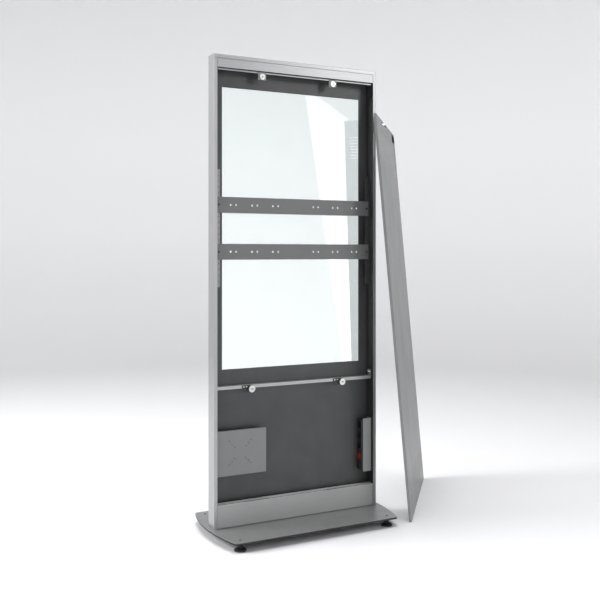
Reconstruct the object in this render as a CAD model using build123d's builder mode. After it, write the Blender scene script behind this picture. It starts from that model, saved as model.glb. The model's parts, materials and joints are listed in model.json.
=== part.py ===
"""Open-back display kiosk: a 55 inch portrait stele with its rear cover taken off and leant on it.

Frame: the origin is the centre of the base plate's underside, +Z up. The screen faces -Y, the
open service side faces +Y, and "left" is +X, as seen from the service side. Millimetres.
"""
from build123d import *
from math import cos, radians, sin
import os

os.makedirs("parts", exist_ok=True)

# ---------------------------------------------------------------- driving dimensions
BODY_W, BODY_D, BODY_H = 800.0, 65.0, 2000.0  # the stele without its base
PLATE_T, FOOT_H = 8.0, 35.0  # base plate thickness, floor to plate underside
PLATE_W, PLATE_END_W, PLATE_D = 840.0, 768.0, 470.0  # bowed ends: width at middle, at corners
SHEET = 2.0  # folded steel sheet of the housing
PROFILE_W = 15.0  # side profile, across the front
GLASS_T, MASK_T, FILM_T = 6.0, 0.2, 0.4
WINDOW_W, WINDOW_H, WINDOW_Z = 680.5, 1210.0, 1275.0  # 55 inch picture, portrait
KICK_H, HEADER_H, CAP_H = 98.0, 39.0, 16.5
SEAM, FLOOR_SEAM = 1.5, 2.5  # open seams round the header and kick panel, and above the plate
COVER_W, COVER_H, COVER_T, COVER_SHEET = 767.0, 1843.0, 12.0, 1.5
COVER_YAW, COVER_LEAN = radians(39.56), radians(4.99)  # turned from the housing, tipped on to it
COVER_FOOT = (-709.6, -90.0)  # middle of the edge it stands on
VENT_FROM_END = 130.0  # middle of each band of vents, from the cover's ends

# ---------------------------------------------------------------- derived places
HALF_W, REAR, FRONT = BODY_W / 2, BODY_D / 2, -BODY_D / 2
INNER_X = HALF_W - PROFILE_W  # inner wall of a side profile
BACK_OF_GLASS = FRONT + GLASS_T
BACK_OF_MASK = BACK_OF_GLASS + MASK_T
BODY_Z0, BODY_Z1 = PLATE_T, PLATE_T + BODY_H
CAP_Z = BODY_Z1 - CAP_H
HEADER_Z = CAP_Z - HEADER_H
LEDGE_Z = BODY_Z0 + KICK_H
SIDES = {"left": 1, "right": -1}


def save(piece, node):
    """Name a finished piece and write it."""
    piece.part.label = node
    export_step(piece.part, f"parts/{node}.step")


def spanning(x, y, z, mode=Mode.ADD):
    """A box given by its range on each axis, inside the current part."""
    with Locations(((x[0] + x[1]) / 2, (y[0] + y[1]) / 2, (z[0] + z[1]) / 2)):
        Box(x[1] - x[0], y[1] - y[0], z[1] - z[0], mode=mode)


def between(side, near, far):
    """An x range on one side of the middle, in rising order."""
    return tuple(sorted((side * near, side * far)))


def bore(plane, diameter, depth):
    """Take a round hole out of the current part, from the plane along its normal."""
    with BuildSketch(plane) as outline:
        Circle(diameter / 2)
    extrude(outline.sketch, amount=depth, mode=Mode.SUBTRACT)


def screw_set(places, head_d, head_h, shank_d, shank_l):
    """Button-head screws as separate solids: one plane each, on the seat, normal outwards."""
    with BuildPart() as screws:
        for plane in places:
            with BuildSketch(plane):
                Circle(head_d / 2)
            extrude(amount=head_h, taper=20)
            with BuildSketch(plane):
                Circle(shank_d / 2)
            extrude(amount=-shank_l)
            with BuildSketch(plane.offset(head_h)):
                RegularPolygon(shank_d * 0.3, 6)
            extrude(amount=-head_h * 0.6, mode=Mode.SUBTRACT)
    return screws


def facing(axis, x, y, z):
    """A plane at a point with its normal along an axis; its x lies along X, or Y on an x face."""
    sign = 1 if axis[0] == "+" else -1
    normals = {"x": (sign, 0, 0), "y": (0, sign, 0), "z": (0, 0, sign)}
    x_dir = (0, 1, 0) if axis[1] == "x" else (1, 0, 0)
    return Plane(origin=(x, y, z), x_dir=x_dir, z_dir=normals[axis[1]])


def wall(side):
    """The direction out of a side profile's inner wall, into the housing."""
    return "-x" if side > 0 else "+x"


# ---------------------------------------------------------------- base plate and its fixings
FOOT_X, FOOT_Y, STEM_D = 352.0, 197.0, 10.0
FOOT_PLACES = {
    "rear_left": (FOOT_X, FOOT_Y),
    "rear_right": (-FOOT_X, FOOT_Y),
    "front_left": (FOOT_X, -FOOT_Y),
    "front_right": (-FOOT_X, -FOOT_Y),
}
BLOCK_X, BLOCK_Y, BLOCK_H = (349.0, INNER_X), (-16.0, 20.0), 50.0
ANCHOR_SCREW_Y = (-8.0, 6.0)
BOLT_D, BOLT_HEAD_D, BOLT_HEAD_H, BOLT_L = 8.0, 16.0, 4.0, 30.0
BOLT_SPOTS = [(side * 367.0, y) for side in (1, -1) for y in (-8.0, 12.0)]
CLEARANCE = 0.2  # on the diameter of fixing holes
SCREW_D, HEAD, WALL_GRIP = 5.0, (9.5, 3.0), 2.2  # wall screws: shank, head, length in the wall
ENTRY_D = 40.0

with BuildPart() as base_plate:
    with BuildSketch() as plate_outline:
        with BuildLine():
            rear_edge = Line((-PLATE_END_W / 2, PLATE_D / 2), (PLATE_END_W / 2, PLATE_D / 2))
            ThreePointArc(rear_edge @ 1, (PLATE_W / 2, 0), (PLATE_END_W / 2, -PLATE_D / 2))
            Line((PLATE_END_W / 2, -PLATE_D / 2), (-PLATE_END_W / 2, -PLATE_D / 2))
            ThreePointArc((-PLATE_END_W / 2, -PLATE_D / 2), (-PLATE_W / 2, 0), rear_edge @ 0)
        make_face()
        fillet(plate_outline.vertices(), 14)
    extrude(amount=PLATE_T)
    chamfer(base_plate.faces().sort_by(Axis.Z)[-1].outer_wire().edges(), 0.8)
    with Locations((0, 0)):
        Hole(ENTRY_D / 2)
    for foot_x, foot_y in FOOT_PLACES.values():
        bore(facing("+z", foot_x, foot_y, 0), STEM_D + CLEARANCE, PLATE_T)
    for bolt_x, bolt_y in BOLT_SPOTS:
        bore(facing("+z", bolt_x, bolt_y, 0), BOLT_D + CLEARANCE, PLATE_T)
        with BuildSketch(Plane.XY):
            with Locations((bolt_x, bolt_y)):
                Circle(BOLT_HEAD_D / 2 + CLEARANCE)
        extrude(amount=BOLT_HEAD_H, taper=45, mode=Mode.SUBTRACT)
save(base_plate, "base_plate")

for side_name, side in SIDES.items():
    with BuildPart() as anchor_block:
        spanning(between(side, *BLOCK_X), BLOCK_Y, (BODY_Z0, BODY_Z0 + BLOCK_H))
        chamfer(anchor_block.edges().filter_by(Axis.Z), 1.5)
        for bolt_x, bolt_y in BOLT_SPOTS:
            if bolt_x * side > 0:
                spot = facing("+z", bolt_x, bolt_y, BODY_Z0)
                bore(spot, BOLT_D + CLEARANCE, BOLT_L)
        for screw_y in ANCHOR_SCREW_Y:
            spot = facing(wall(side), side * INNER_X, screw_y, BODY_Z0 + 40)
            bore(spot, SCREW_D + CLEARANCE, BLOCK_X[1] - BLOCK_X[0])
    save(anchor_block, f"anchor_block_{side_name}")

with BuildPart() as base_bolts:
    for bolt_x, bolt_y in BOLT_SPOTS:
        with BuildSketch(Plane.XY):
            with Locations((bolt_x, bolt_y)):
                Circle(BOLT_HEAD_D / 2)
        extrude(amount=BOLT_HEAD_H, taper=45)
        with BuildSketch(Plane.XY):
            with Locations((bolt_x, bolt_y)):
                Circle(BOLT_D / 2)
        extrude(amount=BOLT_L)
        with BuildSketch(Plane.XY):
            with Locations((bolt_x, bolt_y)):
                RegularPolygon(2.8, 6)
        extrude(amount=2.5, mode=Mode.SUBTRACT)
save(base_bolts, "base_bolts")

anchor_seats = [
    facing(wall(side), side * BLOCK_X[0], screw_y, BODY_Z0 + 40)
    for side in SIDES.values()
    for screw_y in ANCHOR_SCREW_Y
]
anchor_l = BLOCK_X[1] - BLOCK_X[0] + WALL_GRIP
save(screw_set(anchor_seats, *HEAD, SCREW_D, anchor_l), "anchor_screws")

# ---------------------------------------------------------------- levelling feet
PAD_D, PAD_H, NUT_AF, NUT_H = 50.0, 9.0, 17.0, 9.0
NECK_D, NECK_TOP, STEM_TOP = 22.0, -15.0, 6.0

with BuildPart() as foot_nuts:
    for foot_x, foot_y in FOOT_PLACES.values():
        with BuildSketch(Plane.XY):
            with Locations((foot_x, foot_y)):
                RegularPolygon(NUT_AF / 2, 6, major_radius=False)
                Circle((STEM_D + CLEARANCE) / 2, mode=Mode.SUBTRACT)
        extrude(amount=-NUT_H)
save(foot_nuts, "foot_nuts")

for foot_name, (foot_x, foot_y) in FOOT_PLACES.items():
    with BuildPart() as foot:
        with BuildSketch(Plane(origin=(foot_x, foot_y, 0), x_dir=(1, 0, 0), z_dir=(0, -1, 0))):
            with BuildLine():
                Polyline(
                    (0, -FOOT_H),
                    (PAD_D / 2 - 1.5, -FOOT_H),
                    (PAD_D / 2, -FOOT_H + 1.5),
                    (PAD_D / 2, -FOOT_H + PAD_H - 2),
                    (PAD_D / 2 - 3, -FOOT_H + PAD_H),
                    (NECK_D / 2, NECK_TOP - 4),
                    (NECK_D / 2, NECK_TOP),
                    (STEM_D / 2, NECK_TOP),
                    (STEM_D / 2, STEM_TOP - 1),
                    (STEM_D / 2 - 1, STEM_TOP),
                    (0, STEM_TOP),
                    close=True,
                )
            make_face()
        revolve(axis=Axis((foot_x, foot_y, 0), (0, 0, 1)))
        with BuildSketch(Plane(origin=(foot_x, foot_y, -FOOT_H + PAD_H))):
            with PolarLocations(PAD_D / 2 + 0.6, 16):
                Circle(1.6)
        extrude(amount=-PAD_H, mode=Mode.SUBTRACT)
    save(foot, f"foot_{foot_name}")

# ---------------------------------------------------------------- side profiles
UPRIGHT_Z = (1025.0, 1525.0)
UPRIGHT_SCREW_Z = (1033.0, 1516.0)
RAIL_Z = (589.0, 603.0)
PC_Z = (221.0, 413.0)
STRIP_Z = (164.0, 407.0)
GROOVE_Y, OUTER_WALL = (13.5, 16.0), 3.0
wall_screws = {  # (y, z) of each screw in a side profile's inner wall, by what it holds
    "upright_screws": [(-7.5, z) for z in UPRIGHT_SCREW_Z],
    "mid_rail_screws": [(-7.5, 621.0), (7.0, 621.0)],
    "corner_screws": [(1.5, 1929.0), (1.5, 1912.0)],
    "anchor_screws": [(y, BODY_Z0 + 40) for y in ANCHOR_SCREW_Y],
}
one_side_screws = {
    "left": [(0.0, PC_Z[0] + 20), (0.0, (PC_Z[0] + PC_Z[1]) / 2), (0.0, PC_Z[1] - 20)],
    "right": [(5.0, STRIP_Z[0] + 3.5), (5.0, STRIP_Z[1] - 3.5)],
}

for side_name, side in SIDES.items():
    with BuildPart() as profile:
        with BuildSketch(Plane.XY.offset(BODY_Z0)):
            with BuildLine():
                Polyline(
                    (side * HALF_W, FRONT),
                    (side * HALF_W, REAR),
                    (side * INNER_X, REAR),
                    (side * INNER_X, GROOVE_Y[1]),
                    (side * (INNER_X + 2), GROOVE_Y[1]),
                    (side * (INNER_X + 2), GROOVE_Y[0]),
                    (side * INNER_X, GROOVE_Y[0]),
                    (side * INNER_X, BACK_OF_MASK),
                    (side * (HALF_W - OUTER_WALL), BACK_OF_MASK),
                    (side * (HALF_W - OUTER_WALL), FRONT),
                    close=True,
                )
            make_face()
            for chamber in ((GROOVE_Y[1] + 2, REAR - 2), (BACK_OF_MASK + 2.5, GROOVE_Y[0] - 2)):
                with Locations((side * (INNER_X + PROFILE_W / 2), sum(chamber) / 2)):
                    Rectangle(PROFILE_W - 5, chamber[1] - chamber[0], mode=Mode.SUBTRACT)
        extrude(amount=CAP_Z - BODY_Z0)
        spanning(between(side, HALF_W - OUTER_WALL, HALF_W), (FRONT, REAR), (CAP_Z, BODY_Z1))
        outside = profile.faces().sort_by(Axis.X)[-1 if side > 0 else 0]
        fillet(outside.edges().filter_by(Axis.Z), 1.0)
        for spots in [*wall_screws.values(), one_side_screws[side_name]]:
            for screw_y, screw_z in spots:
                spot = facing(wall(-side), side * (INNER_X - 0.5), screw_y, screw_z)
                bore(spot, SCREW_D + CLEARANCE, 3.5)
    save(profile, f"side_profile_{side_name}")

    with BuildPart() as seal:
        x_range = between(side, INNER_X - 1.0, INNER_X + 2)
        spanning(x_range, GROOVE_Y, (LEDGE_Z + 2, HEADER_Z - 2))
        fillet(seal.faces().sort_by(Axis.X)[0 if side > 0 else -1].edges().filter_by(Axis.Z), 0.9)
    save(seal, f"seal_{side_name}")

# ---------------------------------------------------------------- cap, header and kick panel
with BuildPart() as top_cap:
    cap_x = HALF_W - OUTER_WALL - 0.1
    spanning((-cap_x, cap_x), (BACK_OF_MASK, REAR), (CAP_Z, BODY_Z1))
    rear_top = top_cap.edges().filter_by(Axis.X).group_by(Axis.Z)[-1].sort_by(Axis.Y)[-1]
    fillet(rear_top, 1.2)
    offset(amount=-SHEET, openings=top_cap.faces().sort_by(Axis.Z)[0], kind=Kind.INTERSECTION)
save(top_cap, "top_cap")

SHELF_Y = -18.0  # front edge of the header's underside
CATCH_X, CATCH_W, TOP_MAGNET_Z, TOP_MAGNET_D = 175.0, 37.5, 1930.0, 26.0
CATCH_Y = 24.0  # front face of the catch brackets' plates
HEADER_LIP_H, LIP_END = 8.5, 6.0  # lip hanging from the header's underside, short of the profiles
with BuildPart() as header_panel:
    spanning((-INNER_X + SEAM, INNER_X - SEAM), (REAR - SHEET, REAR), (HEADER_Z, CAP_Z - SEAM))
    spanning((-INNER_X, INNER_X), (SHELF_Y, REAR - SHEET), (HEADER_Z, HEADER_Z + SHEET))
    spanning((-INNER_X, INNER_X), (SHELF_Y, SHELF_Y + SHEET), (HEADER_Z + SHEET, HEADER_Z + 24))
    lip_y, lip_z = (CATCH_Y - SHEET, CATCH_Y), (HEADER_Z - HEADER_LIP_H, HEADER_Z)
    spanning((-INNER_X + LIP_END, INNER_X - LIP_END), lip_y, lip_z)
    for catch_x in (CATCH_X, -CATCH_X):
        notch = CATCH_W / 2 + SEAM
        spanning((catch_x - notch, catch_x + notch), lip_y, lip_z, mode=Mode.SUBTRACT)
        bore(facing("+z", catch_x, 12, HEADER_Z), 4.2, SHEET)
save(header_panel, "header_panel")

with BuildPart() as seal_top:
    spanning((-INNER_X + 3, INNER_X - 3), (27.5, 32.0), (HEADER_Z - 2.5, HEADER_Z))
    fillet(seal_top.faces().sort_by(Axis.Z)[0].edges().filter_by(Axis.X), 1.2)
save(seal_top, "seal_top")

LEDGE_Y, SLOT_L, SLOT_W, SLOT_X, SLOT_Y = -10.0, 120.0, 12.0, 200.0, 21.5
CHANNEL_W, CHANNEL_H, CHANNEL_WALL, CHANNEL_END = 6.0, 8.0, 1.5, 3.0  # the cover's foot stands in it
with BuildPart() as kick_panel:
    face_z = (BODY_Z0 + FLOOR_SEAM, LEDGE_Z)
    spanning((-INNER_X + SEAM, INNER_X - SEAM), (REAR - SHEET, REAR), face_z)
    spanning((-INNER_X, INNER_X), (LEDGE_Y, REAR - SHEET), (LEDGE_Z - SHEET, LEDGE_Z))
    spanning((-INNER_X, INNER_X), (LEDGE_Y, LEDGE_Y + SHEET), (LEDGE_Z - 22, LEDGE_Z - SHEET))
    rear_top = kick_panel.edges().filter_by(Axis.X).sort_by(Axis.Z)[-2:].sort_by(Axis.Y)[-1]
    fillet(rear_top, 1.5)
    for wall_t, mode in ((CHANNEL_WALL, Mode.ADD), (0.0, Mode.SUBTRACT)):
        half_l = INNER_X - CHANNEL_END + wall_t
        half_w = CHANNEL_W / 2 + wall_t
        channel_z = (LEDGE_Z - CHANNEL_H - wall_t, LEDGE_Z)
        spanning((-half_l, half_l), (SLOT_Y - half_w, SLOT_Y + half_w), channel_z, mode)
    with BuildSketch(Plane.XY.offset(LEDGE_Z)):
        with Locations((SLOT_X, SLOT_Y), (-SLOT_X, SLOT_Y)):
            SlotOverall(SLOT_L, SLOT_W)
    extrude(amount=-CHANNEL_H - CHANNEL_WALL, mode=Mode.SUBTRACT)
save(kick_panel, "kick_panel")

# ---------------------------------------------------------------- front glass, mask, touch film
GLASS_X, GLASS_Z = HALF_W - OUTER_WALL - 0.4, (BODY_Z0 + 0.5, BODY_Z1 - 0.5)
with BuildPart() as front_glass:
    spanning((-GLASS_X, GLASS_X), (FRONT, BACK_OF_GLASS), GLASS_Z)
    chamfer(front_glass.faces().sort_by(Axis.Y)[0].edges(), 0.8)
save(front_glass, "front_glass")

with BuildPart() as glass_mask:
    spanning((-GLASS_X, GLASS_X), (BACK_OF_GLASS, BACK_OF_MASK), GLASS_Z)
    with BuildSketch(facing("-y", 0, BACK_OF_MASK, WINDOW_Z)):
        Rectangle(WINDOW_W, WINDOW_H)
    extrude(amount=MASK_T, mode=Mode.SUBTRACT)
save(glass_mask, "glass_mask")

with BuildPart() as touch_film:
    half_w, half_h = WINDOW_W / 2 - 0.8, WINDOW_H / 2 - 0.8
    z_range = (WINDOW_Z - half_h, WINDOW_Z + half_h)
    spanning((-half_w, half_w), (BACK_OF_GLASS, BACK_OF_GLASS + FILM_T), z_range)
save(touch_film, "touch_film")

# ---------------------------------------------------------------- display uprights and crossbars
ANGLE_Y, ANGLE_X, ANGLE_FRONT = (0.5, 2.5), 361.0, -15.0
BAR_Y, BAR_H, BAR_END, BAR_FLANGE_X, BAR_FRONT = (2.5, 4.5), 68.0, 377.0, 357.0, -7.5
BAR_SCREW_X, DISPLAY_ROWS = 367.0, 200.0
DISPLAY_HOLE_D, PAIR_PITCH = 9.0, 25.0
bars = {"upper": WINDOW_Z + DISPLAY_ROWS / 2, "lower": WINDOW_Z - DISPLAY_ROWS / 2}

for side_name, side in SIDES.items():
    with BuildPart() as upright:
        spanning(between(side, ANGLE_X, INNER_X), ANGLE_Y, UPRIGHT_Z)
        spanning(between(side, INNER_X - SHEET, INNER_X), (ANGLE_FRONT, ANGLE_Y[0]), UPRIGHT_Z)
        for step in range(21):
            hole_z = WINDOW_Z - 250 + 25 * step
            if UPRIGHT_Z[0] + 8 < hole_z < UPRIGHT_Z[1] - 8:
                bore(facing("+y", side * BAR_SCREW_X, 0, hole_z), SCREW_D + CLEARANCE, 4)
        for screw_z in UPRIGHT_SCREW_Z:
            bore(facing(wall(side), side * INNER_X, -7.5, screw_z), SCREW_D + CLEARANCE, SHEET)
    save(upright, f"display_upright_{side_name}")

for bar_name, bar_z in bars.items():
    with BuildPart() as crossbar:
        low, high = bar_z - BAR_H / 2, bar_z + BAR_H / 2
        flange_x = (-BAR_FLANGE_X, BAR_FLANGE_X)
        spanning((-BAR_END, BAR_END), BAR_Y, (low, high))
        spanning(flange_x, (BAR_FRONT, BAR_Y[0]), (low, low + SHEET))
        spanning(flange_x, (BAR_FRONT, BAR_Y[0]), (high - SHEET, high))
        for middle in (-300, -200, -100, 100, 200, 300):
            for hole_x in (middle - PAIR_PITCH / 2, middle + PAIR_PITCH / 2):
                bore(facing("+y", hole_x, BAR_Y[0], bar_z), DISPLAY_HOLE_D, SHEET)
        for side in (1, -1):
            bore(facing("+y", side * BAR_SCREW_X, BAR_Y[0], bar_z), SCREW_D + CLEARANCE, SHEET)
    save(crossbar, f"crossbar_{bar_name}")

bar_spots = [(side * BAR_SCREW_X, bar_z) for side in (1, -1) for bar_z in bars.values()]
bar_seats = [facing("+y", x, BAR_Y[1], z) for x, z in bar_spots]
save(screw_set(bar_seats, *HEAD, SCREW_D, 9.0), "crossbar_screws")

with BuildPart() as crossbar_nuts:
    for nut_x, nut_z in bar_spots:
        with BuildSketch(facing("-y", nut_x, ANGLE_Y[0], nut_z)):
            RegularPolygon(4.0, 6, major_radius=False)
            Circle((SCREW_D + CLEARANCE) / 2, mode=Mode.SUBTRACT)
        extrude(amount=4.0)
save(crossbar_nuts, "crossbar_nuts")

upright_seats = [
    facing(wall(side), side * (INNER_X - SHEET), y, z)
    for side in SIDES.values()
    for y, z in wall_screws["upright_screws"]
]
save(screw_set(upright_seats, *HEAD, SCREW_D, SHEET + WALL_GRIP), "upright_screws")

# ---------------------------------------------------------------- mid rail and corner brackets
RAIL_Y, TAB_TOP = (-12.0, 12.5), 631.0
CATCH_SCREW_D, CATCH_HEAD = 4.0, (7.0, 2.4)
MID_CATCH_X, MID_MAGNET_Z, MID_MAGNET_D = 224.0, 587.0, 30.0
MID_CATCH_SCREWS = [(side * MID_CATCH_X + dx, 596.0) for side in (1, -1) for dx in (19.5, 33.0)]
with BuildPart() as mid_rail:
    spanning((-INNER_X, INNER_X), RAIL_Y, (RAIL_Z[1] - SHEET, RAIL_Z[1]))
    spanning((-INNER_X, INNER_X), (RAIL_Y[1] - SHEET, RAIL_Y[1]), (RAIL_Z[0], RAIL_Z[1] - SHEET))
    for side in SIDES.values():
        spanning(between(side, INNER_X - SHEET, INNER_X), RAIL_Y, (RAIL_Z[1], TAB_TOP))
        for screw_y, screw_z in wall_screws["mid_rail_screws"]:
            spot = facing(wall(side), side * INNER_X, screw_y, screw_z)
            bore(spot, SCREW_D + CLEARANCE, SHEET)
    for screw_x, screw_z in MID_CATCH_SCREWS:
        spot = facing("-y", screw_x, RAIL_Y[1], screw_z)
        bore(spot, CATCH_SCREW_D + CLEARANCE, SHEET)
save(mid_rail, "mid_rail")

rail_seats = [
    facing(wall(side), side * (INNER_X - SHEET), y, z)
    for side in SIDES.values()
    for y, z in wall_screws["mid_rail_screws"]
]
save(screw_set(rail_seats, *HEAD, SCREW_D, SHEET + WALL_GRIP), "mid_rail_screws")

for side_name, side in SIDES.items():
    with BuildPart() as corner_bracket:
        wall_leg = between(side, INNER_X - SHEET, INNER_X)
        spanning(wall_leg, (-12, 12.5), (1900, HEADER_Z))
        shelf_leg = between(side, INNER_X - 45, INNER_X - SHEET)
        spanning(shelf_leg, (-12, 12.5), (HEADER_Z - SHEET, HEADER_Z))
        for screw_y, screw_z in wall_screws["corner_screws"]:
            spot = facing(wall(side), side * INNER_X, screw_y, screw_z)
            bore(spot, SCREW_D + CLEARANCE, SHEET)
    save(corner_bracket, f"corner_bracket_{side_name}")

corner_seats = [
    facing(wall(side), side * (INNER_X - SHEET), y, z)
    for side in SIDES.values()
    for y, z in wall_screws["corner_screws"]
]
save(screw_set(corner_seats, *HEAD, SCREW_D, SHEET + WALL_GRIP), "corner_screws")

# ---------------------------------------------------------------- magnetic catches
MAGNET_T, MAGNET_HOLE_D, COUNTERSINK_D, STANDOFF_D = 4.5, 4.2, 9.0, 20.0
magnets = {  # x, z and diameter of each pot magnet
    "top_left": (CATCH_X, TOP_MAGNET_Z, TOP_MAGNET_D),
    "top_right": (-CATCH_X, TOP_MAGNET_Z, TOP_MAGNET_D),
    "mid_left": (MID_CATCH_X, MID_MAGNET_Z, MID_MAGNET_D),
    "mid_right": (-MID_CATCH_X, MID_MAGNET_Z, MID_MAGNET_D),
}

for side_name, side in SIDES.items():
    with BuildPart() as top_catch_bracket:
        x_range = (side * CATCH_X - CATCH_W / 2, side * CATCH_X + CATCH_W / 2)
        plate_y = (CATCH_Y, CATCH_Y + SHEET)
        spanning(x_range, plate_y, (1916, HEADER_Z))
        spanning(x_range, (2, CATCH_Y), (HEADER_Z - SHEET, HEADER_Z))
        fillet(top_catch_bracket.edges().filter_by(Axis.Y).sort_by(Axis.Z)[:2], 3)
        bore(facing("+y", side * CATCH_X, CATCH_Y, TOP_MAGNET_Z), MAGNET_HOLE_D, SHEET)
        bore(facing("+z", side * CATCH_X, 12, HEADER_Z - SHEET), MAGNET_HOLE_D, SHEET)
    save(top_catch_bracket, f"top_catch_bracket_{side_name}")

    with BuildPart() as mid_catch_bracket:
        x_middle = side * MID_CATCH_X
        plate_y = (RAIL_Y[1], RAIL_Y[1] + SHEET)
        spanning((x_middle - 12, x_middle + 40), plate_y, (573, RAIL_Z[1] - 1))
        fillet(mid_catch_bracket.edges().filter_by(Axis.Y), 3)
        with BuildSketch(facing("+y", x_middle, plate_y[1], MID_MAGNET_Z)):
            Circle(STANDOFF_D / 2)
        extrude(amount=CATCH_Y + SHEET - plate_y[1])
        bore(facing("-y", x_middle, CATCH_Y + SHEET, MID_MAGNET_Z), MAGNET_HOLE_D, 20)
        bore(facing("+y", x_middle + 26, RAIL_Y[1], 581), 6.5, SHEET)
        for screw_x, screw_z in MID_CATCH_SCREWS:
            spot = facing("+y", screw_x, RAIL_Y[1], screw_z)
            bore(spot, CATCH_SCREW_D + CLEARANCE, SHEET)
    save(mid_catch_bracket, f"mid_catch_bracket_{side_name}")

for magnet_name, (magnet_x, magnet_z, magnet_d) in magnets.items():
    with BuildPart() as magnet:
        with BuildSketch(facing("+y", magnet_x, CATCH_Y + SHEET, magnet_z)):
            Circle(magnet_d / 2)
        extrude(amount=MAGNET_T)
        fillet(magnet.edges().sort_by(Axis.Y)[-1], 0.8)
        front = facing("+y", magnet_x, CATCH_Y + SHEET + MAGNET_T, magnet_z)
        with BuildSketch(front):
            Circle(magnet_d / 2 - 2.5)
            Circle(magnet_d / 2 - 4.0, mode=Mode.SUBTRACT)
        extrude(amount=-1.0, mode=Mode.SUBTRACT)
        with BuildSketch(front):
            Circle(COUNTERSINK_D / 2 + 0.1)
        extrude(amount=-2.5, taper=45, mode=Mode.SUBTRACT)
        bore(facing("+y", magnet_x, CATCH_Y + SHEET, magnet_z), MAGNET_HOLE_D, MAGNET_T)
    save(magnet, f"magnet_{magnet_name}")

with BuildPart() as magnet_screws:
    for magnet_x, magnet_z, _ in magnets.values():
        seat = facing("+y", magnet_x, CATCH_Y + SHEET + MAGNET_T, magnet_z)
        with BuildSketch(seat):
            Circle(COUNTERSINK_D / 2)
        extrude(amount=-2.5, taper=45)
        with BuildSketch(seat):
            Circle(2)
        extrude(amount=-MAGNET_T - SHEET)
        with BuildSketch(seat):
            RegularPolygon(1.5, 6)
        extrude(amount=-1.2, mode=Mode.SUBTRACT)
save(magnet_screws, "magnet_screws")

catch_seats = [facing("+y", x, RAIL_Y[1] + SHEET, z) for x, z in MID_CATCH_SCREWS]
catch_seats += [facing("-z", side * CATCH_X, 12, HEADER_Z - SHEET) for side in SIDES.values()]
save(screw_set(catch_seats, *CATCH_HEAD, CATCH_SCREW_D, 2 * SHEET), "catch_screws")

# ---------------------------------------------------------------- computer plate
PC_X, PC_Y, PC_CENTRE = (150.0, INNER_X), (10.5, 12.5), (272.0, 317.0)
with BuildPart() as pc_plate:
    spanning(PC_X, PC_Y, PC_Z)
    spanning((INNER_X - SHEET, INNER_X), (-15, PC_Y[0]), PC_Z)
    spanning((PC_X[0], INNER_X - 6), (0, PC_Y[0]), (PC_Z[1] - SHEET, PC_Z[1]))
    spanning((PC_X[0], INNER_X - 6), (0, PC_Y[0]), (PC_Z[0], PC_Z[0] + SHEET))
    with BuildSketch(facing("+y", PC_CENTRE[0], PC_Y[0], PC_CENTRE[1])):
        for pitch in (50, 75, 100):
            with GridLocations(pitch, pitch, 2, 2):
                Circle(2.5)
    extrude(amount=SHEET, mode=Mode.SUBTRACT)
    for screw_y, screw_z in one_side_screws["left"]:
        bore(facing("-x", INNER_X, screw_y, screw_z), SCREW_D + CLEARANCE, SHEET)
save(pc_plate, "pc_plate")

pc_seats = [facing("-x", INNER_X - SHEET, y, z) for y, z in one_side_screws["left"]]
save(screw_set(pc_seats, *HEAD, SCREW_D, SHEET + WALL_GRIP), "pc_plate_screws")

# ---------------------------------------------------------------- power strip
STRIP_FACE, STRIP_BACK = -333.0, -INNER_X + SHEET
STRIP_Y, STRIP_END_Z = (-24.0, 14.5), (172.0, 399.0)
SOCKET_D, SOCKET_DEPTH, SOCKET_Z = 34.0, 12.0, (376.0, 330.0, 284.0)
ROCKER_Z, ROCKER_W, ROCKER_H, ROCKER_TILT, ROCKER_BAY = 232.0, 20.0, 29.2, radians(8), 16.0
ROCKER_X, PIVOT_D = STRIP_FACE - 3.0, 3.0
PIN_D, PIN_L, GLAND_X, NIPPLE_D = 5.0, 14.0, -358.0, 8.0
STRIP_MIDDLE_Y = sum(STRIP_Y) / 2

with BuildPart() as strip_bracket:
    spanning((-INNER_X, STRIP_BACK), (-20, 13.2), STRIP_Z)
    spanning((STRIP_BACK - 0.8, STRIP_BACK + 1.2), (11.2, 17), STRIP_Z)
    spanning((STRIP_BACK + 1.2, -341), (15, 17), STRIP_Z)
    for screw_y, screw_z in one_side_screws["right"]:
        bore(facing("+x", -INNER_X, screw_y, screw_z), SCREW_D + CLEARANCE, SHEET)
save(strip_bracket, "strip_bracket")

strip_seats = [facing("+x", STRIP_BACK, y, z) for y, z in one_side_screws["right"]]
save(screw_set(strip_seats, 6.8, 3.0, SCREW_D, SHEET + WALL_GRIP), "strip_bracket_screws")

with BuildPart() as power_strip:
    spanning((STRIP_BACK, STRIP_FACE), STRIP_Y, STRIP_END_Z)
    spanning((STRIP_BACK, STRIP_BACK + 1.6), (11, STRIP_Y[1]), STRIP_END_Z, mode=Mode.SUBTRACT)
    fillet(power_strip.edges().filter_by(Axis.Z).group_by(Axis.X)[-1], 3)
    for socket_z in SOCKET_Z:
        bore(facing("-x", STRIP_FACE, STRIP_MIDDLE_Y, socket_z), SOCKET_D, SOCKET_DEPTH)
        for pin_y in (-9.5, 9.5):
            pin = facing("-x", STRIP_FACE - SOCKET_DEPTH, STRIP_MIDDLE_Y + pin_y, socket_z)
            bore(pin, PIN_D, PIN_L)
    with Locations((STRIP_FACE - ROCKER_BAY / 2, STRIP_MIDDLE_Y, ROCKER_Z)):
        Box(ROCKER_BAY, ROCKER_W + 0.8, ROCKER_H + 2.4, mode=Mode.SUBTRACT)
    pivot = facing("+y", ROCKER_X, STRIP_MIDDLE_Y, ROCKER_Z)
    bore(pivot.offset(-ROCKER_W / 2 - 2.2), PIVOT_D + 0.1, ROCKER_W + 4.4)
    bore(facing("+z", GLAND_X, STRIP_MIDDLE_Y, STRIP_END_Z[0]), NIPPLE_D + CLEARANCE, 12)
save(power_strip, "power_strip")

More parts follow.
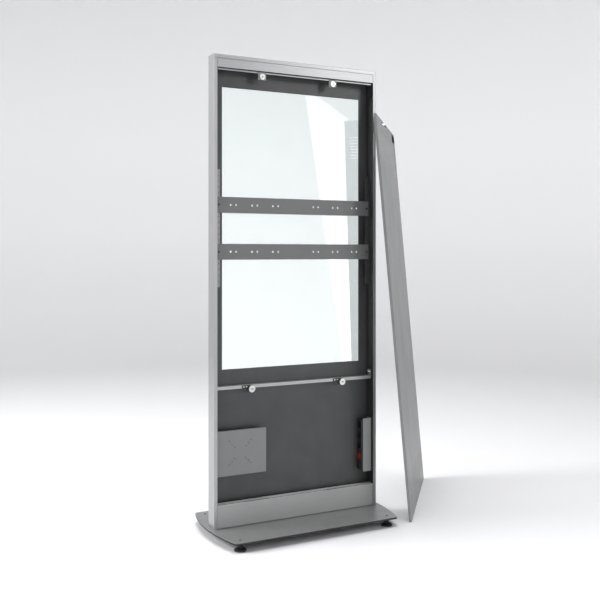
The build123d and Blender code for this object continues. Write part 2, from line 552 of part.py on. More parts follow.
with BuildPart() as power_strip_rocker:
    top_in = (cos(ROCKER_TILT), 0, sin(ROCKER_TILT))
    tilted = Plane(origin=pivot.origin, x_dir=top_in, z_dir=(0, -1, 0))
    with BuildSketch(tilted):
        with BuildLine():
            Polyline(
                (-5, -9),
                (-5, 9),
                (2.5, ROCKER_H / 2),
                (4.8, ROCKER_H / 2),
                (3.2, 0),
                (4.8, -ROCKER_H / 2),
                (2.5, -ROCKER_H / 2),
                close=True,
            )
        make_face()
    extrude(amount=ROCKER_W / 2, both=True)
    with BuildSketch(tilted):
        Circle(PIVOT_D / 2)
    extrude(amount=ROCKER_W / 2 + 2, both=True)
save(power_strip_rocker, "power_strip_rocker")

with BuildPart() as power_strip_gland:
    with BuildSketch(facing("-z", GLAND_X, STRIP_MIDDLE_Y, STRIP_END_Z[0])):
        RegularPolygon(8, 6, major_radius=False)
    extrude(amount=6)
    with BuildSketch(facing("-z", GLAND_X, STRIP_MIDDLE_Y, STRIP_END_Z[0] - 6)):
        Circle(7)
    extrude(amount=6, taper=15)
    with BuildSketch(facing("+z", GLAND_X, STRIP_MIDDLE_Y, STRIP_END_Z[0])):
        Circle(NIPPLE_D / 2)
    extrude(amount=10)
    bore(facing("+z", GLAND_X, STRIP_MIDDLE_Y, STRIP_END_Z[0] - 12), 5.0, 22)
save(power_strip_gland, "power_strip_gland")

# ---------------------------------------------------------------- rear cover, leant on the housing
across = Vector(-sin(COVER_YAW), -cos(COVER_YAW), 0)
outward = Vector(-cos(COVER_YAW) * cos(COVER_LEAN), sin(COVER_YAW) * cos(COVER_LEAN), sin(COVER_LEAN))
cover_plane = Plane(origin=(*COVER_FOOT, -FOOT_H), x_dir=across, z_dir=outward)
LOCK_AT, GRIP_AT = (-132.0, COVER_H - 24.0), (308.0, COVER_H - 32.0)
GRIP_W, GRIP_H, GRIP_DEPTH = 104.0, 44.0, 10.0
LOCK_D, PLUG_D, LOCK_PROUD, RUNNING = 20.0, 14.0, 9.6, 0.05
CAM_Z, CAM_L = (0.8, 3.2), 42.0  # the cam lies just inside the tray and turns behind a catch plate
CORNER_GAP = 0.3  # between neighbouring folded edges
VENT_L, VENT_W, VENT_PITCH, VENT_COUNT = 56.0, 4.0, (74.0, 14.0), (10, 8)


def on_cover(x, y, z):
    """A plane on the cover: x across it, y up it, z out of its outer face."""
    origin = cover_plane.from_local_coords((x, y, z))
    return Plane(origin=origin, x_dir=cover_plane.x_dir, z_dir=cover_plane.z_dir)


with BuildPart() as rear_cover:
    with BuildSketch(on_cover(0, COVER_H / 2, COVER_T - COVER_SHEET)):
        Rectangle(COVER_W, COVER_H)
    extrude(amount=COVER_SHEET)
    out_of_cover = Axis(cover_plane.origin, outward)
    fillet(rear_cover.faces().sort_by(out_of_cover)[-1].edges(), 1.2)
    with BuildSketch(on_cover(0, COVER_H / 2, COVER_T - COVER_SHEET)):
        for band_y in (VENT_FROM_END - COVER_H / 2, COVER_H / 2 - VENT_FROM_END):
            with Locations((0, band_y)):
                with GridLocations(*VENT_PITCH, *VENT_COUNT):
                    SlotOverall(VENT_L, VENT_W)
        with Locations((LOCK_AT[0], LOCK_AT[1] - COVER_H / 2)):
            Circle(LOCK_D / 2 + CLEARANCE / 2)
        with Locations((GRIP_AT[0], GRIP_AT[1] - COVER_H / 2)):
            Rectangle(GRIP_W - 4, GRIP_H - 4)
    extrude(amount=COVER_SHEET, mode=Mode.SUBTRACT)
save(rear_cover, "rear_cover")

with BuildPart() as cover_edges:
    with BuildSketch(on_cover(0, COVER_H / 2, 0)):
        with Locations(((COVER_W - COVER_SHEET) / 2, 0), ((COVER_SHEET - COVER_W) / 2, 0)):
            Rectangle(COVER_SHEET, COVER_H)
        with Locations((0, (COVER_H - COVER_SHEET) / 2), (0, (COVER_SHEET - COVER_H) / 2)):
            Rectangle(COVER_W - 2 * COVER_SHEET - 2 * CORNER_GAP, COVER_SHEET)
    extrude(amount=COVER_T - COVER_SHEET)
save(cover_edges, "cover_edges")

with BuildPart() as cover_grip:
    with BuildSketch(on_cover(*GRIP_AT, COVER_T)):
        RectangleRounded(GRIP_W, GRIP_H, 3)
    extrude(amount=1.2)
    with BuildSketch(on_cover(*GRIP_AT, COVER_T)):
        RectangleRounded(GRIP_W - 4.4, GRIP_H - 4.4, 2)
    extrude(amount=-GRIP_DEPTH)
    with BuildSketch(on_cover(*GRIP_AT, COVER_T + 1.2)):
        RectangleRounded(GRIP_W - 7.4, GRIP_H - 7.4, 2)
    extrude(amount=-GRIP_DEPTH, mode=Mode.SUBTRACT)
save(cover_grip, "cover_grip")

with BuildPart() as cover_lock_body:
    with BuildSketch(on_cover(*LOCK_AT, COVER_T)):
        Circle(LOCK_D / 2 + 3)
        Circle(PLUG_D / 2 + RUNNING, mode=Mode.SUBTRACT)
    extrude(amount=2)
    with BuildSketch(on_cover(*LOCK_AT, CAM_Z[1] + 0.4)):
        Circle(LOCK_D / 2)
        Circle(PLUG_D / 2 + RUNNING, mode=Mode.SUBTRACT)
    extrude(amount=COVER_T + LOCK_PROUD - CAM_Z[1] - 0.4)
save(cover_lock_body, "cover_lock_body")

with BuildPart() as cover_lock_plug:
    with BuildSketch(on_cover(*LOCK_AT, CAM_Z[0])):
        Circle(PLUG_D / 2)
    extrude(amount=COVER_T + LOCK_PROUD - CAM_Z[0])
    with BuildSketch(on_cover(*LOCK_AT, COVER_T + LOCK_PROUD + 0.4)):
        Circle(LOCK_D / 2 - 1)
    extrude(amount=2)
    with BuildSketch(on_cover(*LOCK_AT, COVER_T + LOCK_PROUD)):
        Circle(PLUG_D / 2)
    extrude(amount=0.4)
    with BuildSketch(on_cover(*LOCK_AT, COVER_T + LOCK_PROUD + 2.4)):
        Rectangle(1.6, 8)
    extrude(amount=-6, mode=Mode.SUBTRACT)
    with BuildSketch(on_cover(*LOCK_AT, CAM_Z[0])):
        with Locations((0, 6 - CAM_L / 2)):
            SlotOverall(CAM_L, 12, rotation=90)
    extrude(amount=CAM_Z[1] - CAM_Z[0])
save(cover_lock_plug, "cover_lock_plug")
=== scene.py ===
"""Looks of the open-back display kiosk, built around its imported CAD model.

Metres. +Z is up, the screen faces -Y and the open service side faces +Y.
"""
import json
import math

import bmesh
import bpy
from mathutils import Matrix, Vector
from mathutils.bvhtree import BVHTree

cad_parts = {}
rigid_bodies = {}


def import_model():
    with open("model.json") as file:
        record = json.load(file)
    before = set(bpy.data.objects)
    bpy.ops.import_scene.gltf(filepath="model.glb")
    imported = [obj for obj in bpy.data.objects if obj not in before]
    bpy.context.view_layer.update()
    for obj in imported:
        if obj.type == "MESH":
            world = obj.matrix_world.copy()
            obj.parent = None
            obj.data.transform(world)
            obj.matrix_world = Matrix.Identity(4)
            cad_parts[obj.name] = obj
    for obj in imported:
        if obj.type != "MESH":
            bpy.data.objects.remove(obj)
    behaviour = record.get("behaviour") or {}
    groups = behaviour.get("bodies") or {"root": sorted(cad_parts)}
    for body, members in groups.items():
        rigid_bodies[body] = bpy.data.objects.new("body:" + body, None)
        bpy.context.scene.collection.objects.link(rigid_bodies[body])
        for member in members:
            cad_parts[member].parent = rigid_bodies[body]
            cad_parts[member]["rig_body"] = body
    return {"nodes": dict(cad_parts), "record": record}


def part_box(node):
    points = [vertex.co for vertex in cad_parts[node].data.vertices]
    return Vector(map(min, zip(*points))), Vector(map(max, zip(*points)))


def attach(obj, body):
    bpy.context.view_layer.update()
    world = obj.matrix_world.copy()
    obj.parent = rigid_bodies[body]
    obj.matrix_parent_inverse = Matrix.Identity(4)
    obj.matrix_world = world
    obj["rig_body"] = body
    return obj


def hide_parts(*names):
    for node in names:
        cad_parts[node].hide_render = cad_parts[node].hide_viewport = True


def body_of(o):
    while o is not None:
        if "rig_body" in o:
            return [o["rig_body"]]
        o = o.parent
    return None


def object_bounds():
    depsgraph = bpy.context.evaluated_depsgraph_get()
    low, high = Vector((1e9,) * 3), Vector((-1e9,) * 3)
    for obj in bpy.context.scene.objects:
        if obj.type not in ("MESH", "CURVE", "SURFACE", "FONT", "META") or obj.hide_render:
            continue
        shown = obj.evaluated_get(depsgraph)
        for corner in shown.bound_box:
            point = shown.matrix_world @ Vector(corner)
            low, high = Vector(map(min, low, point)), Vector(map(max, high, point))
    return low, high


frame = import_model()
cad_low, cad_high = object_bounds()
FLOOR_Z = cad_low.z

# ---------------------------------------------------------------- camera
CAMERA_AT = (1.7376, 3.3982, 1.1688)
LOOK = Vector((-0.4599, -0.8880, 0.0))
LENS, SENSOR, SHIFT_Y = 51.6, 36.0, -0.078

camera_data = bpy.data.cameras.new("camera")
camera_data.lens, camera_data.sensor_width, camera_data.shift_y = LENS, SENSOR, SHIFT_Y
camera = bpy.data.objects.new("camera", camera_data)
camera.location = CAMERA_AT
camera.rotation_euler = LOOK.to_track_quat("-Z", "Y").to_euler()
bpy.context.scene.collection.objects.link(camera)
bpy.context.scene.camera = camera


# ---------------------------------------------------------------- node helpers
class Nodes:
    """Builds one material's nodes, with each call returning the socket that it makes."""

    def __init__(self, name):
        self.material = bpy.data.materials.new(name)
        self.material.use_nodes = True
        self.tree = self.material.node_tree
        self.tree.nodes.clear()
        self.output = self.tree.nodes.new("ShaderNodeOutputMaterial")

    def add(self, kind, **settings):
        node = self.tree.nodes.new(kind)
        for key, value in settings.items():
            setattr(node, key, value)
        return node

    def set(self, socket, value):
        """Links a socket, or sets a number or a colour on it."""
        if isinstance(value, bpy.types.NodeSocket):
            self.tree.links.new(value, socket)
        elif isinstance(value, tuple) and len(value) == 3 and socket.type == "RGBA":
            socket.default_value = (*value, 1.0)
        else:
            socket.default_value = value

    def place(self, scale=(1.0, 1.0, 1.0)):
        mapping = self.add("ShaderNodeMapping")
        self.set(mapping.inputs["Vector"], self.add("ShaderNodeTexCoord").outputs["Object"])
        mapping.inputs["Scale"].default_value = scale
        return mapping.outputs["Vector"]

    def axis(self, letter):
        split = self.add("ShaderNodeSeparateXYZ")
        self.set(split.inputs[0], self.add("ShaderNodeTexCoord").outputs["Object"])
        return split.outputs[letter]

    def facing(self, letter):
        """How far the surface looks along +X, +Y or +Z, from -1 to 1."""
        split = self.add("ShaderNodeSeparateXYZ")
        self.set(split.inputs[0], self.add("ShaderNodeNewGeometry").outputs["Normal"])
        return split.outputs[letter]

    def noise(self, scale, detail=3.0, roughness=0.55, stretch=(1.0, 1.0, 1.0)):
        noise = self.add("ShaderNodeTexNoise")
        self.set(noise.inputs["Vector"], self.place(stretch))
        noise.inputs["Scale"].default_value = scale
        noise.inputs["Detail"].default_value = detail
        noise.inputs["Roughness"].default_value = roughness
        return noise.outputs["Fac"]

    def math(self, operation, a, b=0.0):
        node = self.add("ShaderNodeMath", operation=operation)
        self.set(node.inputs[0], a)
        self.set(node.inputs[1], b)
        return node.outputs[0]

    def spread(self, value, low, high, start=0.3, end=0.7):
        """Turns a 0 to 1 field into low to high, with the ends of the field's range cut off."""
        node = self.add("ShaderNodeMapRange")
        self.set(node.inputs["Value"], value)
        for key, number in (("From Min", start), ("From Max", end), ("To Min", low), ("To Max", high)):
            node.inputs[key].default_value = number
        return node.outputs["Result"]

    def mix(self, factor, a, b):
        node = self.add("ShaderNodeMix", data_type="RGBA")
        self.set(node.inputs["Factor"], factor)
        self.set(node.inputs["A"], a)
        self.set(node.inputs["B"], b)
        return node.outputs["Result"]

    def bump(self, height, strength, distance):
        node = self.add("ShaderNodeBump")
        node.inputs["Strength"].default_value = strength
        node.inputs["Distance"].default_value = distance
        self.set(node.inputs["Height"], height)
        return node.outputs["Normal"]

    def principled(self, **inputs):
        shader = self.add("ShaderNodeBsdfPrincipled")
        for key, value in inputs.items():
            self.set(shader.inputs[key.replace("_", " ")], value)
        self.set(self.output.inputs["Surface"], shader.outputs[0])
        return shader


def shade(colour, factor):
    """Makes a colour lighter or darker."""
    return tuple(min(1.0, channel * factor) for channel in colour)


def coat(name, colour, rough, metallic, grain=900.0, grain_depth=0.00002, painted_underside_shade=None):
    """Baked lacquer on sheet metal: fine orange peel and a slight drift of tone.

    The last argument is a painted shade: a dark colour put on every face that doesn't look up, such as
    a plate's edges and underside.
    """
    n = Nodes(name)
    cloud = n.noise(2.2, 2.0)
    tone = n.mix(n.spread(cloud, 0.0, 1.0), shade(colour, 0.96), shade(colour, 1.04))
    speck = n.noise(2600.0, 1.0)
    tone = n.mix(n.spread(speck, 0.0, 0.35), tone, shade(colour, 1.25))
    # painted shade: every face that doesn't look up gets the dark colour
    if painted_underside_shade:
        tone = n.mix(n.math("LESS_THAN", n.facing("Z"), 0.5), tone, painted_underside_shade)
    smear = n.noise(14.0, 4.0, 0.6, (1.0, 1.0, 0.35))
    roughness = n.spread(smear, rough - 0.05, rough + 0.06)
    peel = n.bump(n.noise(grain, 2.0), 0.35, grain_depth)
    n.principled(Base_Color=tone, Roughness=roughness, Metallic=metallic, Normal=peel)
    return n.material


def satin(name, colour, rough, metallic, painted_top_highlight=None):
    """Sheet finished with fine lines along its length before it was lacquered.

    The last argument is a painted highlight, a lighter colour on the faces that look up; with it, the
    channel sunk in such a face is painted black as shade.
    """
    n = Nodes(name)
    lines = n.noise(160.0, 4.0, 0.65, (0.02, 1.0, 4.0))
    tone = n.mix(n.spread(lines, 0.0, 1.0), shade(colour, 0.93), shade(colour, 1.06))
    tone = n.mix(n.spread(n.noise(2.2, 2.0), 0.0, 0.5), tone, shade(colour, 1.04))
    if painted_top_highlight:
        # painted highlight: the faces that look up are lighter
        tone = n.mix(n.math("GREATER_THAN", n.facing("Z"), 0.5), tone, painted_top_highlight)
        # painted shade: the channel sunk in the top is painted black
        sunk = n.math("LESS_THAN", n.axis("Z"), LEDGE_Z - CHANNEL_BELOW)
        beside = n.math("ABSOLUTE", n.math("SUBTRACT", n.axis("Y"), CHANNEL_Y))
        painted_channel_shade = n.math("MULTIPLY", sunk, n.math("LESS_THAN", beside, CHANNEL_REACH))
        tone = n.mix(painted_channel_shade, tone, PAINTED_GROOVE_SHADE)
    roughness = n.spread(lines, rough - 0.05, rough + 0.06)
    n.principled(
        Base_Color=tone, Roughness=roughness, Metallic=metallic, Normal=n.bump(lines, 0.2, 0.00003)
    )
    return n.material


def brushed(name, colour, rough, along=(1.0, 40.0, 40.0), depth=0.00002):
    """Bare or plated steel with fine lines along one axis."""
    n = Nodes(name)
    lines = n.noise(60.0, 4.0, 0.6, along)
    tone = n.mix(n.spread(lines, 0.0, 1.0), shade(colour, 0.9), shade(colour, 1.08))
    roughness = n.spread(n.noise(25.0, 3.0), rough - 0.06, rough + 0.08)
    n.principled(
        Base_Color=tone, Roughness=roughness, Metallic=1.0, Normal=n.bump(lines, 0.25, depth)
    )
    return n.material


def moulded(name, colour, rough, grain=1400.0, depth=0.00004, front=None):
    """Moulded plastic or rubber with a fine grain.

    front is the colour of the faces towards -Y, which are as smooth as the glass that they are on.
    """
    n = Nodes(name)
    fine = n.noise(grain, 2.0)
    tone = n.mix(n.spread(n.noise(9.0, 3.0), 0.0, 1.0), shade(colour, 0.88), shade(colour, 1.15))
    roughness = n.spread(n.noise(40.0, 3.0), rough - 0.05, rough + 0.07)
    if front:
        on_glass = n.math("LESS_THAN", n.facing("Y"), -0.5)
        tone = n.mix(on_glass, tone, front)
        roughness = n.math("MULTIPLY", roughness, n.spread(on_glass, 1.0, SMOOTH_SHARE, 0.0, 1.0))
    n.principled(Base_Color=tone, Roughness=roughness, Normal=n.bump(fine, 0.5, depth))
    return n.material


SMOOTH_SHARE = 0.12  # how rough the print is on its glass side, as a share of its bare side
SILVER = (0.365, 0.37, 0.37)
ANTHRACITE = (0.035, 0.036, 0.037)
# painted shade for the floor of the kick panel's groove
PAINTED_GROOVE_SHADE = (0.004, 0.004, 0.004)
INNER_WALL_X, LIP_FROM_Y = 0.3853, 0.0322  # where the side profiles' inner walls and rear lips begin
LEDGE_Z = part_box("kick_panel")[1].z
# where the groove lies whose floor is painted black as shade
CHANNEL_Y, CHANNEL_REACH, CHANNEL_BELOW = 0.0215, 0.004, 0.0006  # the groove in the kick panel's ledge


def profile_finish_and_shade():
    """Side profiles: silver outside and on the lips; inside the housing anthracite, darkened to
    near-black as painted shade.
    """
    n = Nodes("side_profile_finish_and_shade")
    inside = n.math("LESS_THAN", n.math("ABSOLUTE", n.axis("X")), INNER_WALL_X)
    not_lip = n.math("LESS_THAN", n.axis("Y"), LIP_FROM_Y)
    anthracite_and_shade_inside = n.math("MULTIPLY", inside, not_lip)
    cloud = n.noise(2.2, 2.0)
    light = n.mix(n.spread(cloud, 0.0, 1.0), shade(SILVER, 1.02), shade(SILVER, 1.1))
    # painted shade: inside the housing the anthracite is darkened to near-black
    colour = n.mix(anthracite_and_shade_inside, light, shade(ANTHRACITE, 0.45))
    lines = n.noise(30.0, 3.0, 0.6, (40.0, 40.0, 0.6))
    roughness = n.math("ADD", n.spread(lines, 0.3, 0.38), n.math("MULTIPLY", anthracite_and_shade_inside, 0.2))
    metallic = n.math("SUBTRACT", 0.75, n.math("MULTIPLY", anthracite_and_shade_inside, 0.7))
    n.principled(
        Base_Color=colour, Roughness=roughness, Metallic=metallic, Normal=n.bump(lines, 0.12, 0.00002)
    )
    return n.material


def in_window(n):
    """1 inside the clear window and 0 round it, where the black print mirrors instead."""
    low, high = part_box("touch_film")
    middle, reach = (low + high) / 2, (high - low) / 2
    inside = 1.0
    for letter, centre, half in (("X", middle.x, reach.x), ("Z", middle.z, reach.z)):
        away = n.math("ABSOLUTE", n.math("SUBTRACT", n.axis(letter), centre))
        inside = n.math("MULTIPLY", inside, n.math("LESS_THAN", away, half))
    return inside


def clear_sheet(name, tint, rough, mirror, haze=0.0):
    """Clear sheet that lets light through unbent, with some haze and a coat that mirrors.

    mirror is the share of light that one of its faces throws back, seen square on. At a slant
    it grows by Schlick's rule, which is the same at the sheet's front and back faces.
    """
    n = Nodes(name)
    clear = n.add("ShaderNodeBsdfTransparent")
    n.set(clear.inputs["Color"], tint)
    if haze:
        veil = n.add("ShaderNodeBsdfTranslucent")
        n.set(veil.inputs["Color"], tint)
        hazy = n.add("ShaderNodeMixShader")
        n.set(hazy.inputs[0], n.spread(n.noise(3.0), haze * 0.9, haze * 1.1))
        n.set(hazy.inputs[1], clear.outputs[0])
        n.set(hazy.inputs[2], veil.outputs[0])
        clear = hazy
    gloss = n.add("ShaderNodeBsdfGlossy")
    n.set(gloss.inputs["Color"], (1.0, 1.0, 1.0))
    n.set(gloss.inputs["Roughness"], n.spread(n.noise(6.0, 2.0), rough, rough + 0.01))
    slant = n.add("ShaderNodeLayerWeight")
    slant.inputs["Blend"].default_value = 0.5
    grazing = n.math("MULTIPLY", n.math("POWER", slant.outputs["Facing"], 5.0), 1 - mirror)
    both = n.add("ShaderNodeMixShader")
    n.set(both.inputs[0], n.math("MULTIPLY", in_window(n), n.math("ADD", grazing, mirror)))
    n.set(both.inputs[1], clear.outputs[0])
    n.set(both.inputs[2], gloss.outputs[0])
    n.set(n.output.inputs["Surface"], both.outputs[0])
    return n.material


FINISHES = {
    "silver_coat": coat("silver_coat", SILVER, 0.36, 0.7),
    "side_profile_finish_and_shade": profile_finish_and_shade(),
    "anthracite_coat": coat("anthracite_coat", ANTHRACITE, 0.55, 0.1),
    "brushed_silver": satin("brushed_silver", shade(SILVER, 0.98), 0.31, 0.72),
    # The kick panel's lighter top faces are a painted highlight, and its groove is painted black as
    # shade.
    "kick_coat_painted_light_and_shade": satin("kick_coat_painted_light_and_shade", (0.36, 0.363, 0.361), 0.38, 0.25, (0.62, 0.625, 0.622)),
    # The base plate's dark edges and underside are painted shade.
    "base_coat_painted_shade": coat("base_coat_painted_shade", (0.3, 0.303, 0.303), 0.42, 0.55, painted_underside_shade=(0.03, 0.03, 0.03)),
    "cover_coat": coat("cover_coat", (0.252, 0.254, 0.252), 0.42, 0.6, 420.0, 0.00006),
    "screw_steel": brushed("screw_steel", (0.3, 0.3, 0.3), 0.35),
    "plate_coat": coat("plate_coat", (0.2, 0.203, 0.202), 0.42, 0.3),
    "strip_coat": coat("strip_coat", (0.3, 0.303, 0.302), 0.42, 0.3),
    "catch_coat": coat("catch_coat", (0.24, 0.243, 0.243), 0.4, 0.6),
    "grey_coat": coat("grey_coat", (0.145, 0.147, 0.146), 0.42, 0.25),
    "clear_glass": clear_sheet("clear_glass", (0.955, 0.985, 0.975), 0.0, 0.042),
    "clear_film": clear_sheet("clear_film", (0.985, 0.99, 0.99), 0.02, 0.105, 0.2),
    "black_print": moulded(
        "black_print", (0.05, 0.051, 0.052), 0.34, 300.0, 0.000003, front=(0.006, 0.006, 0.007)
    ),
    "bare_steel": brushed("bare_steel", (0.42, 0.42, 0.43), 0.4),
    "zinc_steel": brushed("zinc_steel", (0.78, 0.78, 0.77), 0.26),
    "black_steel": brushed("black_steel", (0.07, 0.07, 0.073), 0.38),
    "nickel_plate": brushed("nickel_plate", (0.62, 0.615, 0.60), 0.3, (60.0, 60.0, 60.0)),
    "chrome_plate": brushed("chrome_plate", (0.9, 0.905, 0.91), 0.08, (20.0, 20.0, 20.0), 0.000004),
    "black_plastic": moulded("black_plastic", (0.014, 0.014, 0.015), 0.42),
    "red_plastic": moulded("red_plastic", (0.3, 0.01, 0.008), 0.22, 200.0, 0.00001),
    "black_rubber": moulded("black_rubber", (0.012, 0.012, 0.012), 0.7, 2000.0),
}

# Nodes whose finish differs from the plain one of their slot.
OWN_FINISH = {
    "side_profile_left": "side_profile_finish_and_shade", "side_profile_right": "side_profile_finish_and_shade",
    "base_plate": "base_coat_painted_shade", "rear_cover": "cover_coat", "cover_edges": "cover_coat",
    "header_panel": "brushed_silver", "kick_panel": "kick_coat_painted_light_and_shade", "top_cap": "brushed_silver",
    "magnet_screws": "screw_steel", "pc_plate": "plate_coat", "strip_bracket": "strip_coat",
    "top_catch_bracket_left": "catch_coat", "top_catch_bracket_right": "catch_coat",
    # The display uprights are a left and right pair given different greys, light on the left and
    # near-black on the right: painted light and painted shade.
    "display_upright_left": "catch_coat", "display_upright_right": "anthracite_coat",
    "mid_catch_bracket_left": "anthracite_coat", "mid_catch_bracket_right": "anthracite_coat",
}
SLOTS = {subpart["node"]: subpart["material_slot"] for subpart in frame["record"]["subparts"]}
for node, slot in SLOTS.items():
    materials = frame["nodes"][node].data.materials
    materials.clear()
    materials.append(FINISHES[OWN_FINISH.get(node, slot)])


# ---------------------------------------------------------------- rounded sheet edges
LONG_EDGE = 0.012  # shorter edges, such as a hole's, stay as they are
SHARP_CORNER, SAME_PLANE = math.radians(50.0), math.radians(0.6)
BESIDE_EDGE, FOLD_DEPTH = 0.0002, 0.0045  # a fold has more than this depth of metal under both faces
HOUSING_BEND, PLATE_BEND, CUT_EDGE = 0.0014, 0.0012, 0.0003
BEND_STEPS, CUT_STEPS = 4, 2


def depth_under(tree, face, edge):
    """How deep the solid is under a face, just beside one of the face's edges."""
    loop = next(loop for loop in face.loops if loop.edge == edge)
    along = (loop.link_loop_next.vert.co - loop.vert.co).normalized()
    middle = (edge.verts[0].co + edge.verts[1].co) / 2
    start = middle + (face.normal.cross(along) - face.normal) * BESIDE_EDGE
    return tree.ray_cast(start, -face.normal)[3] or 0.0


def clean_mesh(solid):
    """A CAD node's mesh with its flat faces whole again."""
    mesh = bmesh.new()
    mesh.from_mesh(solid.data)
    bmesh.ops.remove_doubles(mesh, verts=mesh.verts, dist=0.000001)
    bmesh.ops.dissolve_limit(mesh, angle_limit=SAME_PLANE, verts=mesh.verts, edges=mesh.edges)
    bmesh.ops.recalc_face_normals(mesh, faces=mesh.faces)
    return mesh


def stand_in(node, name, mesh):
    """Makes a piece that is shown in place of a CAD node, with that node's finish."""
    solid = frame["nodes"][node]
    data = bpy.data.meshes.new(name)
    mesh.to_mesh(data)
    mesh.free()
    data.materials.append(solid.data.materials[0])
    piece = bpy.data.objects.new(name, data)
    bpy.context.scene.collection.objects.link(piece)
    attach(piece, body_of(solid)[0])
    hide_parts(node)


def round_edges(mesh, edges, radius, segments):
    if edges:
        bmesh.ops.bevel(
            mesh, geom=edges, offset=radius, offset_type="OFFSET", segments=segments, profile=0.5,
            affect="EDGES", clamp_overlap=False,
        )


def soften(node, bend, cut):
    """Stands for a CAD node with rounded bends and broken cut edges, in place of sharp ones."""
    mesh = clean_mesh(frame["nodes"][node])
    sharp = [
        edge for edge in mesh.edges
        if edge.is_manifold and edge.calc_length() > LONG_EDGE
        and edge.calc_face_angle() > SHARP_CORNER
    ]
    tree = BVHTree.FromBMesh(mesh)
    bends = [
        edge for edge in sharp
        if edge.calc_face_angle_signed() > 0
        and min(depth_under(tree, face, edge) for face in edge.link_faces) > FOLD_DEPTH
    ]
    kept = [edge for edge in sharp if edge not in bends]
    round_edges(mesh, bends, bend, BEND_STEPS)
    round_edges(mesh, [edge for edge in kept if edge.is_valid], cut, CUT_STEPS)
    bmesh.ops.triangulate(mesh, faces=mesh.faces, ngon_method="EAR_CLIP")
    for face in mesh.faces:
        face.smooth = False
    stand_in(node, node + "_softened", mesh)


for node in ("header_panel", "kick_panel", "top_cap", "mid_rail", "crossbar_upper", "crossbar_lower"):
    soften(node, HOUSING_BEND, CUT_EDGE)
for node in ("pc_plate", "strip_bracket"):
    soften(node, PLATE_BEND, CUT_EDGE)


# ---------------------------------------------------------------- front glass
SEAMED_EDGE, PRINT_GAP = 0.0006, 0.00004


def seam_glass():
    """The front glass with ground edges; its back face stands clear of the print by a hair."""
    mesh = clean_mesh(frame["nodes"]["front_glass"])
    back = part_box("front_glass")[1].y
    at_back = [vertex for vertex in mesh.verts if back - vertex.co.y < PRINT_GAP]
    for vertex in at_back:
        vertex.co.y = back - PRINT_GAP
    rim = [edge for edge in mesh.edges if all(vertex in at_back for vertex in edge.verts)]
    round_edges(mesh, rim, SEAMED_EDGE, CUT_STEPS)
    stand_in("front_glass", "front_glass_seamed", mesh)


seam_glass()


# ---------------------------------------------------------------- stage and light
WALL_AT, WALL_CURVE, WALL_TOP = 8.0, 2.6, 7.5  # radius of the wall, of its curve, and its height
STAGE_STEPS, CURVE_STEPS = 96, 24
GLOW_BY_HEIGHT = [(0.0, 0.0), (0.06, 0.05), (0.2, 0.13), (0.42, 0.15), (1.0, 0.17)]


def stage_material():
    """Pale studio paper; its wall glows a little, so that it is even from all sides."""
    n = Nodes("studio_paper")
    height = n.spread(n.axis("Z"), 0.0, 1.0, 0.0, WALL_TOP)
    ramp = n.add("ShaderNodeValToRGB")
    while len(ramp.color_ramp.elements) < len(GLOW_BY_HEIGHT):
        ramp.color_ramp.elements.new(1.0)
    for element, (position, glow) in zip(ramp.color_ramp.elements, GLOW_BY_HEIGHT):
        element.position = position
        element.color = (glow, glow * 1.003, glow * 1.015, 1.0)
    n.set(ramp.inputs[0], height)
    fibre = n.mix(n.noise(60.0), (0.86, 0.86, 0.87), (0.9, 0.9, 0.905))
    n.principled(
        Base_Color=fibre, Roughness=0.9, Emission_Color=ramp.outputs[0], Emission_Strength=1.0
    )
    return n.material


def add_stage():
    """Round floor with a wall that curves up all the way round it."""
    floor_end = WALL_AT - WALL_CURVE
    profile = [(0.01, 0.0), (3.0, 0.0), (floor_end, 0.0)]
    for step in range(1, CURVE_STEPS + 1):
        angle = math.radians(90.0 * step / CURVE_STEPS)
        profile.append((
            floor_end + WALL_CURVE * math.sin(angle), WALL_CURVE * (1 - math.cos(angle))
        ))
    profile.append((WALL_AT, WALL_TOP))
    mesh = bmesh.new()
    rings = []
    turns = [2 * math.pi * step / STAGE_STEPS for step in range(STAGE_STEPS)]
    for radius, height in profile:
        rings.append([
            mesh.verts.new((radius * math.cos(t), radius * math.sin(t), FLOOR_Z + height))
            for t in turns
        ])
    for inner, outer in zip(rings, rings[1:]):
        for k in range(STAGE_STEPS):
            after = (k + 1) % STAGE_STEPS
            mesh.faces.new((inner[k], outer[k], outer[after], inner[after])).smooth = True
    mesh.faces.new(rings[0])
    data = bpy.data.meshes.new("stage_sweep")
    mesh.to_mesh(data)
    mesh.free()
    data.materials.append(stage_material())
    sweep = bpy.data.objects.new("stage_sweep", data)
    bpy.context.scene.collection.objects.link(sweep)


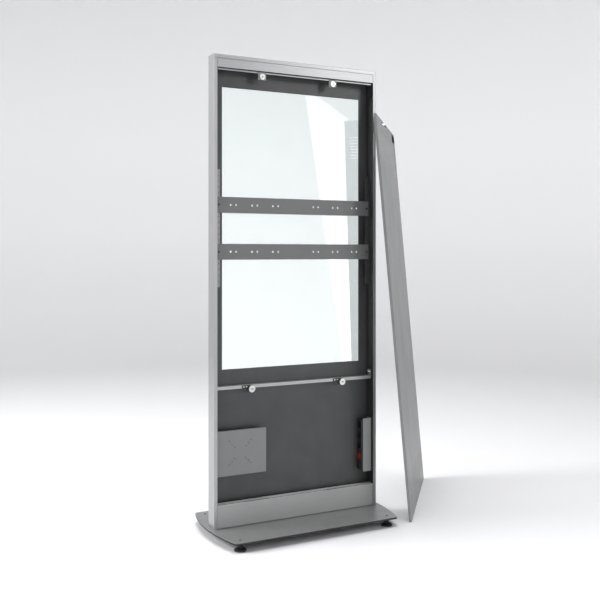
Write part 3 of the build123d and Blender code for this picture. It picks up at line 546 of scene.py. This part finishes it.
def reflector(name, corners, strength):
    """A bright card behind the camera that only shows as a reflection."""
    data = bpy.data.meshes.new(name)
    data.from_pydata(corners, [], [tuple(range(len(corners)))])
    n = Nodes(name)
    glow = n.add("ShaderNodeEmission")
    fall = n.spread(n.axis("Z"), 1.0, 0.42, 0.0, 3.0)
    n.set(glow.inputs["Color"], (0.98, 0.995, 1.0))
    n.set(glow.inputs["Strength"], n.math("MULTIPLY", fall, strength))
    n.set(n.output.inputs["Surface"], glow.outputs[0])
    data.materials.append(n.material)
    card = bpy.data.objects.new(name, data)
    card.visible_camera = card.visible_diffuse = card.visible_shadow = False
    bpy.context.scene.collection.objects.link(card)


def softbox(name, at, towards, size, power):
    """A rectangular studio light, unseen by the camera."""
    data = bpy.data.lights.new(name, "AREA")
    data.shape, data.size, data.size_y = "RECTANGLE", size[0], size[1]
    data.energy = power
    lamp = bpy.data.objects.new(name, data)
    turn = (Vector(towards) - Vector(at)).to_track_quat("-Z", "Y").to_matrix().to_4x4()
    lamp.matrix_world = Matrix.Translation(at) @ turn
    lamp.visible_camera = False
    bpy.context.scene.collection.objects.link(lamp)


add_stage()
world = bpy.data.worlds.new("studio")
world.use_nodes = True
world.node_tree.nodes["Background"].inputs["Color"].default_value = (0.95, 0.97, 1.0, 1.0)
world.node_tree.nodes["Background"].inputs["Strength"].default_value = 0.15
bpy.context.scene.world = world
bpy.context.scene.view_settings.view_transform = "Standard"

softbox("overhead", (0.2, 0.1, 5.4), (0.1, 0.1, 0.0), (3.0, 3.0), 212.0)
softbox("left_wall", (4.4, -1.8, 2.7), (0.4, 0.0, 0.8), (1.8, 2.2), 190.0)
softbox("rear_high", (-3.7, 5.2, 3.7), (-0.3, 0.0, 1.6), (1.5, 1.6), 42.0)
# A studio window and a brighter slanting band of it, both seen mirrored in the glass.
CARD_Y, BAND_Y, CARD_LOW, CARD_HIGH = 4.6, 4.5, -0.02, 2.86
CARD_STRENGTH, BAND_STRENGTH = 2.35, 4.5
reflector(
    "window_card",
    [
        (-1.52, CARD_Y, CARD_HIGH), (-1.52, CARD_Y, CARD_LOW),
        (-3.5, CARD_Y, CARD_LOW), (-3.5, CARD_Y, CARD_HIGH),
    ],
    CARD_STRENGTH,
)
reflector(
    "window_band",
    [
        (-2.43, BAND_Y, 2.9), (-2.91, BAND_Y, CARD_LOW),
        (-3.06, BAND_Y, CARD_LOW), (-2.96, BAND_Y, 2.61),
    ],
    BAND_STRENGTH,
)
